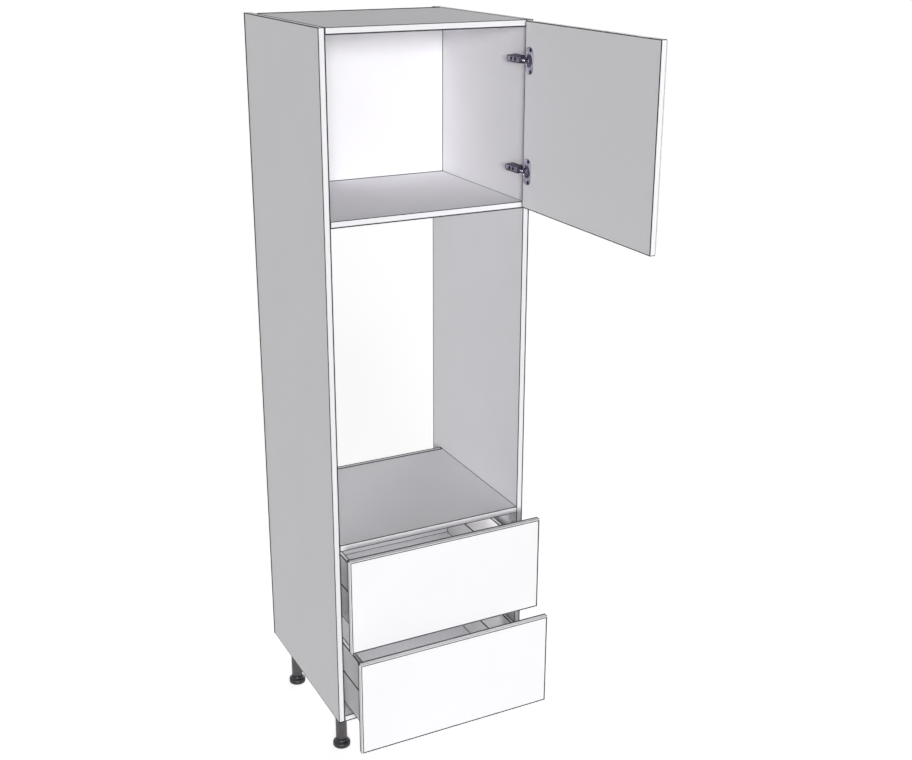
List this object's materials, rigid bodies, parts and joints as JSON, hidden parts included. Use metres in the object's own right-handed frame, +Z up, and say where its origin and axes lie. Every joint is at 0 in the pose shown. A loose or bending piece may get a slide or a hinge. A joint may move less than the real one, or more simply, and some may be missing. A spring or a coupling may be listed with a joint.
{
  "type": "oven housing unit",
  "caption": "Tall oven housing unit with a side-hung top cupboard, an open oven bay, deep drawers on full-extension runners and round adjustable legs.",
  "frame": {"origin": "on the floor, under the middle of the box that the unit fills with its door open", "axes": "+Z up, -Y towards the user, +X to the user's right"},
  "size_m": [0.6, 1.167, 2.12],
  "materials": {
    "board": "white melamine-faced chipboard",
    "front_board": "smooth satin white foil",
    "drawer_steel": "white powder coat",
    "runner_steel": "bright zinc plate",
    "hinge_nickel": "dark nickel plate",
    "leg_plastic": "fine-grained charcoal"
  },
  "bodies": {
    "carcass": {"left_side_panel": "board", "right_side_panel": "board", "top_panel": "board", "upper_shelf": "board", "oven_shelf": "board", "bottom_panel": "board", "upper_back_panel": "board", "lower_back_panel": "board", "front_left_leg_socket": "leg_plastic", "front_left_leg_tube": "leg_plastic", "front_right_leg_socket": "leg_plastic", "front_right_leg_tube": "leg_plastic", "rear_left_leg_socket": "leg_plastic", "rear_left_leg_tube": "leg_plastic", "rear_right_leg_socket": "leg_plastic", "rear_right_leg_tube": "leg_plastic", "upper_drawer_left_cabinet_rail": "runner_steel", "upper_drawer_right_cabinet_rail": "runner_steel", "lower_drawer_left_cabinet_rail": "runner_steel", "lower_drawer_right_cabinet_rail": "runner_steel", "upper_hinge_plate": "hinge_nickel", "upper_hinge_arm": "hinge_nickel", "lower_hinge_plate": "hinge_nickel", "lower_hinge_arm": "hinge_nickel"},
    "top_door": {"top_door_panel": "front_board", "upper_hinge_cup": "hinge_nickel", "lower_hinge_cup": "hinge_nickel"},
    "upper_hinge_link_body": {"upper_hinge_link": "hinge_nickel"},
    "lower_hinge_link_body": {"lower_hinge_link": "hinge_nickel"},
    "upper_drawer": {"upper_drawer_front": "front_board", "upper_drawer_bottom": "board", "upper_drawer_back": "board", "upper_drawer_left_profile": "drawer_steel", "upper_drawer_left_side_panel": "drawer_steel", "upper_drawer_left_drawer_rail": "runner_steel", "upper_drawer_left_front_bracket": "runner_steel", "upper_drawer_right_profile": "drawer_steel", "upper_drawer_right_side_panel": "drawer_steel", "upper_drawer_right_drawer_rail": "runner_steel", "upper_drawer_right_front_bracket": "runner_steel"},
    "upper_drawer_middle_rails": {"upper_drawer_left_middle_rail": "runner_steel", "upper_drawer_right_middle_rail": "runner_steel"},
    "lower_drawer": {"lower_drawer_front": "front_board", "lower_drawer_bottom": "board", "lower_drawer_back": "board", "lower_drawer_left_profile": "drawer_steel", "lower_drawer_left_side_panel": "drawer_steel", "lower_drawer_left_drawer_rail": "runner_steel", "lower_drawer_left_front_bracket": "runner_steel", "lower_drawer_right_profile": "drawer_steel", "lower_drawer_right_side_panel": "drawer_steel", "lower_drawer_right_drawer_rail": "runner_steel", "lower_drawer_right_front_bracket": "runner_steel"},
    "lower_drawer_middle_rails": {"lower_drawer_left_middle_rail": "runner_steel", "lower_drawer_right_middle_rail": "runner_steel"},
    "front_left_foot": {"front_left_leg_foot": "leg_plastic"},
    "front_right_foot": {"front_right_leg_foot": "leg_plastic"},
    "rear_left_foot": {"rear_left_leg_foot": "leg_plastic"},
    "rear_right_foot": {"rear_right_leg_foot": "leg_plastic"}
  },
  "joints": [
    {"name": "top_door_swing", "type": "hinge", "parent": "carcass", "child": "top_door", "pos_m": [0.2895, 0.004, 1.8725], "axis": [0, 0, 1], "range_deg": [-90, 5]},
    {"name": "upper_hinge_link_turn", "type": "hinge", "parent": "carcass", "child": "upper_hinge_link_body", "pos_m": [0.266, 0.0265, 2.018], "axis": [0, 0, 1], "range_deg": [-3, 48]},
    {"name": "lower_hinge_link_turn", "type": "hinge", "parent": "carcass", "child": "lower_hinge_link_body", "pos_m": [0.266, 0.0265, 1.727], "axis": [0, 0, 1], "range_deg": [-3, 48]},
    {"name": "upper_drawer_slide", "type": "slide", "parent": "carcass", "child": "upper_drawer", "axis": [0, -1, 0], "range_m": [-0.088, 0.362]},
    {"name": "upper_middle_rail_slide", "type": "slide", "parent": "carcass", "child": "upper_drawer_middle_rails", "axis": [0, -1, 0], "range_m": [-0.044, 0.181]},
    {"name": "lower_drawer_slide", "type": "slide", "parent": "carcass", "child": "lower_drawer", "axis": [0, -1, 0], "range_m": [-0.147, 0.303]},
    {"name": "lower_middle_rail_slide", "type": "slide", "parent": "carcass", "child": "lower_drawer_middle_rails", "axis": [0, -1, 0], "range_m": [-0.0735, 0.1515]},
    {"name": "front_left_foot_turn", "type": "hinge", "parent": "carcass", "child": "front_left_foot", "pos_m": [-0.256, 0.1225, 0.05], "axis": [0, 0, 1], "continuous": true},
    {"name": "front_right_foot_turn", "type": "hinge", "parent": "carcass", "child": "front_right_foot", "pos_m": [0.256, 0.1225, 0.05], "axis": [0, 0, 1], "continuous": true},
    {"name": "rear_left_foot_turn", "type": "hinge", "parent": "carcass", "child": "rear_left_foot", "pos_m": [-0.256, 0.5045, 0.05], "axis": [0, 0, 1], "continuous": true},
    {"name": "rear_right_foot_turn", "type": "hinge", "parent": "carcass", "child": "rear_right_foot", "pos_m": [0.256, 0.5045, 0.05], "axis": [0, 0, 1], "continuous": true}
  ],
  "couplings": [
    {"joint": "upper_hinge_link_turn", "follows": "top_door_swing", "ratio": -0.53},
    {"joint": "lower_hinge_link_turn", "follows": "top_door_swing", "ratio": -0.53},
    {"joint": "upper_middle_rail_slide", "follows": "upper_drawer_slide", "ratio": 0.5},
    {"joint": "lower_middle_rail_slide", "follows": "lower_drawer_slide", "ratio": 0.5}
  ]
}
